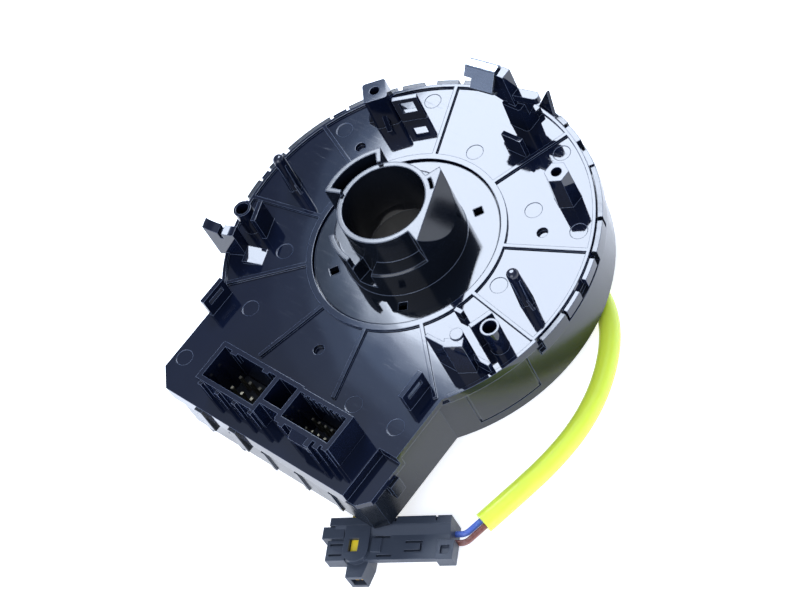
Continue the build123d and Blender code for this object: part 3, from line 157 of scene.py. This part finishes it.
def per_mm(size):
    """Noise scale whose features are about this many millimetres across."""
    return 1.0 / (size * MM)


print("mid grey in linear light", round(float(linear("#808080")[0]), 4))


# %% [markdown]
# ## Moulded plastics
# Most of the object is injection-moulded thermoplastic. The plate and the collar come from a
# polished mould, so they mirror the room; the drum comes from a blasted one, so it is duller. Under
# the gloss, real mouldings are never quite flat: the sheet sinks a little between the ribs, handling
# leaves hair-fine scratches, and dust settles. Each is one noise with a real size. Edges are never
# sharp: a Bevel node rounds the normal there. Where the rounded normal leaves the true one, the colour
# is painted towards a pale blue-grey, a painted highlight along the edges. A bevelled mesh would
# show the same line, but the meshes of the CAD pieces stay as they are.

# %% Function for a moulded plastic
# Sizes in millimetres that every moulding shares, and the pale blue-grey of the painted highlight on its
# edges
flow_mm = 28
wear_mm = 6
hair_mm = 9
sink_mm = 18
edge_highlight_hex = "#8391aa"


def moulded(name, hex_colour, shine, grain_mm, grain_height, waviness, scratch, edge_mm,
            dull_above=None, edge_highlight=0.1):
    """Thermoplastic: colour with faint flow marks and a painted edge highlight, roughness from wear, bump
    from grain and sink.

    The edge mask paints a highlight: the dot product of the rounded and the true normal, read from 0.99
    down to 0.80.
    dull_above gives a height in millimetres and the roughness that is added higher up.
    """
    material, tree, shader, place = fresh_material(name)
    flow = node(tree, "ShaderNodeTexNoise", [("Vector", place)], Scale=per_mm(flow_mm), Detail=3.0,
                Roughness=0.6)
    tint = node(tree, "ShaderNodeValToRGB", [("Fac", flow.outputs["Fac"])])
    base = np.array(linear(hex_colour))
    tint.color_ramp.elements[0].color = (*(base[:3] * 0.8), 1)
    tint.color_ramp.elements[1].color = (*(base[:3] * 1.25), 1)
    wear = node(tree, "ShaderNodeTexNoise", [("Vector", place)], Scale=per_mm(wear_mm), Detail=6.0,
                Roughness=0.7)
    stretch = node(tree, "ShaderNodeMapping", [("Vector", place)], Scale=(1.0, 14.0, 1.0),
                   Rotation=(0.0, 0.0, 0.7))
    hairs = node(tree, "ShaderNodeTexNoise", [("Vector", stretch.outputs["Vector"])],
                 Scale=per_mm(hair_mm), Detail=4.0, Roughness=0.75)
    lines = node(tree, "ShaderNodeMapRange", [("Value", hairs.outputs["Fac"])],
                 From_Min=0.56, From_Max=0.72, To_Max=scratch)
    dull = node(tree, "ShaderNodeMapRange", [("Value", wear.outputs["Fac"])],
                From_Min=0.35, From_Max=0.75, To_Min=shine, To_Max=shine * 1.6)
    rough = node(tree, "ShaderNodeMath", [(0, dull.outputs["Result"]), (1, lines.outputs["Result"])],
                 operation="ADD")
    if dull_above is not None:
        rise = node(tree, "ShaderNodeSeparateXYZ", [("Vector", place)])
        higher = node(tree, "ShaderNodeMath", [(0, rise.outputs["Z"])], operation="GREATER_THAN")
        higher.inputs[1].default_value = dull_above[0] * MM
        extra = node(tree, "ShaderNodeMath", [(0, higher.outputs["Value"])], operation="MULTIPLY")
        extra.inputs[1].default_value = dull_above[1]
        rough = node(tree, "ShaderNodeMath", [(0, rough.outputs["Value"]), (1, extra.outputs["Value"])],
                     operation="ADD")
    soft_edge = node(tree, "ShaderNodeBevel", Radius=edge_mm * MM)
    soft_edge.samples = 6
    sink = node(tree, "ShaderNodeTexNoise", [("Vector", place)], Scale=per_mm(sink_mm), Detail=1.0)
    sunk = node(tree, "ShaderNodeBump",
                [("Height", sink.outputs["Fac"]), ("Normal", soft_edge.outputs["Normal"])],
                Distance=waviness * MM, Strength=1.0)
    grain = node(tree, "ShaderNodeTexNoise", [("Vector", place)], Scale=per_mm(grain_mm), Detail=2.0)
    grained = node(tree, "ShaderNodeBump",
                   [("Height", grain.outputs["Fac"]), ("Normal", sunk.outputs["Normal"])],
                   Distance=grain_height * MM, Strength=1.0)
    facing = tree.nodes.new("ShaderNodeNewGeometry").outputs["Normal"]
    meeting = node(tree, "ShaderNodeVectorMath", [(0, soft_edge.outputs["Normal"]), (1, facing)],
                   operation="DOT_PRODUCT")
    # Painted highlight: the mask picks the edges, and the mix paints their colour towards a pale blue-grey
    edge_highlight_mask = node(tree, "ShaderNodeMapRange", [("Value", meeting.outputs["Value"])],
                  From_Min=0.99, From_Max=0.80, To_Max=edge_highlight)
    # A Mix node's sockets 6 and 7 are its two colours, and its output 2 is the mixed one
    highlighted_colour = node(tree, "ShaderNodeMix", [(0, edge_highlight_mask.outputs["Result"]), (6, tint.outputs["Color"])],
                 data_type="RGBA")
    highlighted_colour.inputs[7].default_value = linear(edge_highlight_hex)
    tree.links.new(highlighted_colour.outputs[2], shader.inputs["Base Color"])
    tree.links.new(rough.outputs["Value"], shader.inputs["Roughness"])
    tree.links.new(grained.outputs["Normal"], shader.inputs["Normal"])
    shader.inputs["IOR"].default_value = 1.5
    return material


# %% [markdown]
# ## The finishes of the plastics
# The plate and the turning collar are glossy black; the wheel side, the drum and the plug are duller.
# The terminal blocks, the film and the wound cable lie inside, and show only through the gaps.

# %% Black mouldings
# The last keyword of the first three mouldings sets how strongly their edges get the painted highlight;
# the rest keep a faint one
# Polished mould, black polyester: a dark mirror with a blue cast from the room
polished_black = moulded("polished_black_pbt", "#0a1020", shine=0.04, grain_mm=0.9, grain_height=0.0008,
                         waviness=0.06, scratch=0.10, edge_mm=0.22, edge_highlight=0.5)
# Lightly blasted mould, same polyester: the drum's wall smears what it mirrors
satin_black = moulded("satin_black_pbt", "#10141a", shine=0.16, grain_mm=0.7, grain_height=0.002,
                      waviness=0.05, scratch=0.08, edge_mm=0.25, edge_highlight=0.4)
# Collar: polished on its ring, and a little duller above it, where it turns against the column
collar_dull_above = (27.5, 0.08)
collar_black = moulded("collar_black_pbt", "#0b0f16", shine=0.05, grain_mm=0.8, grain_height=0.001,
                       waviness=0.10, scratch=0.08, edge_mm=0.45, dull_above=collar_dull_above, edge_highlight=0.3)
# Spark-eroded mould, black ABS: the wheel side is matt with a fine grain
grained_black = moulded("grained_black_abs", "#14161a", shine=0.30, grain_mm=0.5, grain_height=0.012,
                        waviness=0.05, scratch=0.06, edge_mm=0.30)

# %% Greys, yellow, film and cable
# Glass-filled nylon: grey and dry
terminal_grey = moulded("terminal_grey_nylon", "#2a2c2f", shine=0.38, grain_mm=0.6, grain_height=0.010,
                        waviness=0.04, scratch=0.03, edge_mm=0.20)
# Plug in charcoal nylon: soft broad highlights on its chamfers
plug_charcoal = moulded("plug_charcoal_nylon", "#2d333d", shine=0.34, grain_mm=0.4, grain_height=0.012,
                        waviness=0.04, scratch=0.05, edge_mm=0.22)
# Lock in yellow polyester: the one bright piece on the plug
lock_yellow = moulded("lock_yellow_pbt", "#f0d02a", shine=0.28, grain_mm=0.5, grain_height=0.008,
                      waviness=0.03, scratch=0.02, edge_mm=0.18)
# Low-friction fluoropolymer film: milky and waxy
slide_film = moulded("slide_film_ptfe", "#e6e6df", shine=0.42, grain_mm=0.8, grain_height=0.004,
                     waviness=0.05, scratch=0.02, edge_mm=0.10)
# Flat cable: copper strips between amber polyester films
ribbon_amber = moulded("ribbon_amber_polyester", "#b98a3a", shine=0.22, grain_mm=0.8, grain_height=0.004,
                       waviness=0.05, scratch=0.03, edge_mm=0.10)
print("materials so far, imported ones too", len(bpy.data.materials))

# %% [markdown]
# ## Metals
# The clip over the tall post is rolled spring steel: the rolling leaves fine lines along the sheet,
# so its shine is streaked one way. The terminals are brass with a thin coat of tin or gold.

# %% Metals of this object
# Stains in millimetres, and how deep the rollers' lines are
stain_mm = 5
line_depth_mm = 0.01


def drawn_metal(name, hex_colour, shine, streak_mm, edge_mm):
    """Rolled or drawn metal: noise stretched along X gives streaks in the roughness and the bump."""
    material, tree, shader, place = fresh_material(name)
    stretch = node(tree, "ShaderNodeMapping", [("Vector", place)], Scale=(0.06, 1.0, 1.0))
    streaks = node(tree, "ShaderNodeTexNoise", [("Vector", stretch.outputs["Vector"])],
                   Scale=per_mm(streak_mm), Detail=5.0, Roughness=0.7)
    stain = node(tree, "ShaderNodeTexNoise", [("Vector", place)], Scale=per_mm(stain_mm), Detail=3.0)
    tint = node(tree, "ShaderNodeValToRGB", [("Fac", stain.outputs["Fac"])])
    base = np.array(linear(hex_colour))
    tint.color_ramp.elements[0].color = (*(base[:3] * 0.78), 1)
    tint.color_ramp.elements[1].color = (*np.minimum(base[:3] * 1.1, 1), 1)
    rough = node(tree, "ShaderNodeMapRange", [("Value", streaks.outputs["Fac"])],
                 From_Min=0.3, From_Max=0.7, To_Min=shine, To_Max=shine * 1.9)
    soft_edge = node(tree, "ShaderNodeBevel", Radius=edge_mm * MM)
    relief = node(tree, "ShaderNodeBump",
                  [("Height", streaks.outputs["Fac"]), ("Normal", soft_edge.outputs["Normal"])],
                  Distance=line_depth_mm * MM, Strength=1.0)
    tree.links.new(tint.outputs["Color"], shader.inputs["Base Color"])
    tree.links.new(rough.outputs["Result"], shader.inputs["Roughness"])
    tree.links.new(relief.outputs["Normal"], shader.inputs["Normal"])
    shader.inputs["Metallic"].default_value = 1.0
    return material


# Rolled spring steel: cool grey, with streaks from the rollers
rolled_steel = drawn_metal("rolled_spring_steel", "#868c95", shine=0.20, streak_mm=0.35, edge_mm=0.16)
# Tin over brass: pale and dull, deep in the sockets
tinned_brass = drawn_metal("tinned_brass", "#8d8672", shine=0.34, streak_mm=0.30, edge_mm=0.06)
# Gold flash over bronze: the squib contacts glow warm
gold_flash = drawn_metal("gold_flashed_bronze", "#d8a94a", shine=0.22, streak_mm=0.30, edge_mm=0.06)

# %% [markdown]
# ## The yellow sleeve and the wires
# The sleeve is soft vinyl tubing. Light enters it, so it glows where it is thin, and its skin keeps
# long shallow ripples from the reel. The wire insulation is harder and glossier.

# %% Vinyl skins
# Clouds in the colour and dust on the skin, in millimetres
cloud_mm = 12
dust_mm = 1.2


def vinyl(name, hex_colour, shine, depth_mm, ripple_mm, ripple_height):
    """Soft PVC: light scatters under the skin, ripples run across it, and dust mutes the gloss."""
    material, tree, shader, place = fresh_material(name)
    cloud = node(tree, "ShaderNodeTexNoise", [("Vector", place)], Scale=per_mm(cloud_mm), Detail=4.0)
    tint = node(tree, "ShaderNodeValToRGB", [("Fac", cloud.outputs["Fac"])])
    base = np.array(linear(hex_colour))
    tint.color_ramp.elements[0].color = (*(base[:3] * 0.9), 1)
    tint.color_ramp.elements[1].color = (*np.minimum(base[:3] * 1.08, 1), 1)
    ripple = node(tree, "ShaderNodeTexNoise", [("Vector", place)], Scale=per_mm(ripple_mm), Detail=2.0)
    relief = node(tree, "ShaderNodeBump", [("Height", ripple.outputs["Fac"])], Distance=ripple_height * MM,
                  Strength=1.0)
    dust = node(tree, "ShaderNodeTexNoise", [("Vector", place)], Scale=per_mm(dust_mm), Detail=5.0)
    rough = node(tree, "ShaderNodeMapRange", [("Value", dust.outputs["Fac"])],
                 To_Min=shine * 0.7, To_Max=shine * 1.5)
    tree.links.new(tint.outputs["Color"], shader.inputs["Base Color"])
    tree.links.new(rough.outputs["Result"], shader.inputs["Roughness"])
    tree.links.new(relief.outputs["Normal"], shader.inputs["Normal"])
    shader.inputs["Subsurface Weight"].default_value = 0.35
    shader.inputs["Subsurface Radius"].default_value = (1.0, 0.8, 0.2)
    shader.inputs["Subsurface Scale"].default_value = depth_mm * MM
    shader.inputs["IOR"].default_value = 1.52
    return material


# Extruded soft PVC: lemon yellow with a green cast, and a long highlight along its back
yellow_vinyl = vinyl("yellow_vinyl_tubing", "#e0f04c", shine=0.18, depth_mm=1.2, ripple_mm=5.0,
                     ripple_height=0.10)
# Hard PVC insulation: thin and glossy
blue_vinyl = vinyl("blue_wire_insulation", "#5570c0", shine=0.25, depth_mm=0.3, ripple_mm=3.0,
                   ripple_height=0.03)
brown_vinyl = vinyl("brown_wire_insulation", "#7a4a40", shine=0.25, depth_mm=0.3, ripple_mm=3.0,
                    ripple_height=0.03)
print("materials, imported ones too", len(bpy.data.materials))

# %% [markdown]
# ## Dress the pieces
# Each CAD piece keeps its shape and only gets its finish. A table pairs names with materials, and
# the cell prints the names of pieces that got none.

# %% Give every piece its finish
finishes = {
    "back_plate": polished_black, "socket_housing": polished_black, "hub_collar": collar_black,
    "outer_case": satin_black, "rotor_disc": grained_black, "lead_cover": grained_black,
    "cable_film": slide_film, "flat_cable": ribbon_amber,
    "cable_clamp": terminal_grey, "lobe_terminal_block": terminal_grey,
    "hub_terminal_block": terminal_grey, "left_socket_pins": tinned_brass,
    "right_socket_pins": tinned_brass, "wheel_socket_pins": tinned_brass, "snap_ring": rolled_steel,
    "spring_clip": rolled_steel, "blue_wire": blue_vinyl, "brown_wire": brown_vinyl,
    "connector_body": plug_charcoal, "connector_cover": plug_charcoal, "connector_lock": lock_yellow,
    "squib_contacts": gold_flash, "airbag_sleeve": yellow_vinyl,
}


def dress(piece, material):
    """Put one material on a piece, in every slot that it has."""
    if not piece.material_slots:
        piece.data.materials.append(material)
    for material_slot in piece.material_slots:
        material_slot.material = material


for name, material in finishes.items():
    dress(bpy.data.objects[name], material)
dress(sleeve, yellow_vinyl)
print("dressed", len(finishes) + 1, "left bare", sorted(set(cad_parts) - set(finishes)))

# %% [markdown]
# ## Table and light
# The photograph has a white table that is lit from below too, and one wide soft box behind the part.
# The polished plate mirrors that box, so the box's edge is the edge of the bright part of the plate:
# reflected rays from there meet a level plane half a metre up on one circle.

# %% Table
table_half = 3.0
table_mesh = bpy.data.meshes.new("table")
corners = np.array([(-1, -1, 0), (1, -1, 0), (1, 1, 0), (-1, 1, 0)], dtype=float) * table_half
table_mesh.from_pydata(corners.tolist(), [], [(0, 1, 2, 3)])
table = bpy.data.objects.new("table", table_mesh)
bpy.context.scene.collection.objects.link(table)
# Opal acrylic with lamps under it: an even white that leaves only faint shadows
white_table, tree, table_shader, place = fresh_material("white_table_acrylic")
table_shader.inputs["Base Color"].default_value = linear("#f4f5f7")
table_shader.inputs["Roughness"].default_value = 0.6
table_shader.inputs["Emission Color"].default_value = linear("#ffffff")
table_shader.inputs["Emission Strength"].default_value = 0.7
table_mesh.materials.append(white_table)
print("table", 2 * table_half, "m wide")

# %% [markdown]
# Area lamps are used and no glowing meshes, because a lamp is sampled with less noise. A lamp is a
# place, an aim, a shape and a power.

# %% Function for a lamp


def soft_lamp(name, place, aim, shape, size, power, hex_colour="#ffffff"):
    """Soft lamp of a shape and a size at a place in metres, facing the aim."""
    data = bpy.data.lights.new(name, "AREA")
    data.shape = shape
    data.size = size
    data.energy = power
    data.color = linear(hex_colour)[:3]
    lamp = bpy.data.objects.new(name, data)
    lamp.matrix_world = Matrix.Translation(place) @ (
        (Vector(place) - Vector(aim)).to_track_quat("Z", "Y").to_matrix().to_4x4())
    bpy.context.scene.collection.objects.link(lamp)
    return lamp


# %% [markdown]
# A diffuser is brightest in the middle and dims and turns bluer towards its frame. Discs of growing
# radius, each a millimetre above the one before, add up to that falling brightness. A disc's power is
# its radiance times pi times its area.

# %% Round soft box over the back
box_centre = (-0.281, 0.264)
box_height = 0.5
box_discs = [(0.138, 11.0, "#e8f1ff"), (0.146, 6.0, "#e8f1ff"), (0.153, 2.2, "#dce8ff"),
             (0.163, 1.3, "#a8c4f0"), (0.178, 0.9, "#a8c4f0"), (0.200, 0.2, "#a8c4f0")]
for step, (reach, radiance, tint) in enumerate(box_discs):
    disc_place = (*box_centre, box_height + step * MM)
    disc_power = radiance * np.pi ** 2 * reach ** 2
    soft_lamp(f"box_disc_{step}", disc_place, (*box_centre, 0.0), "DISK", 2 * reach, disc_power, tint)
print("soft box discs", len(box_discs))

# %% [markdown]
# A lamp in front lights the walls that face the camera. The room is bright near the horizon, where a
# light tent's walls stand, dark where the black plate mirrors it, and brighter again overhead. The
# bands pair the height of a direction, from 0 at the horizon to 1 overhead, with the light there.

# %% Front lamp and room light
front_place = (0.30, -0.66, 0.55)
front_aim = (0.0, 0.0, 0.02)
front_size = 0.7
front_power = 6.0
soft_lamp("front_lamp", front_place, front_aim, "SQUARE", front_size, front_power, "#eef4ff")

room_strength = 1.6
world = bpy.data.worlds.new("white_room")
world.use_nodes = True
room_tree = world.node_tree
room = room_tree.nodes["Background"]
room.inputs["Color"].default_value = linear("#cbdaf8")
sky = room_tree.nodes.new("ShaderNodeTexCoord").outputs["Generated"]
rise = node(room_tree, "ShaderNodeSeparateXYZ", [("Vector", sky)])
level = node(room_tree, "ShaderNodeValToRGB", [("Fac", rise.outputs["Z"])])
level.color_ramp.interpolation = "EASE"
bands = [(0.28, 1.0), (0.60, 0.26), (0.72, 0.26), (0.82, 0.70)]
while len(level.color_ramp.elements) < len(bands):
    level.color_ramp.elements.new(0.5)
for band, (height_share, light) in zip(level.color_ramp.elements, bands):
    band.position = height_share
    band.color = (light, light, light, 1)
brightness = node(room_tree, "ShaderNodeMath", [(0, level.outputs["Color"])], operation="MULTIPLY")
brightness.inputs[1].default_value = room_strength
room_tree.links.new(brightness.outputs["Value"], room.inputs["Strength"])
bpy.context.scene.world = world
# The Standard view keeps a lit white table white, as in a product photograph
bpy.context.scene.view_settings.view_transform = "Standard"
print("lamps", len(bpy.data.lights), "room bands", len(bands))
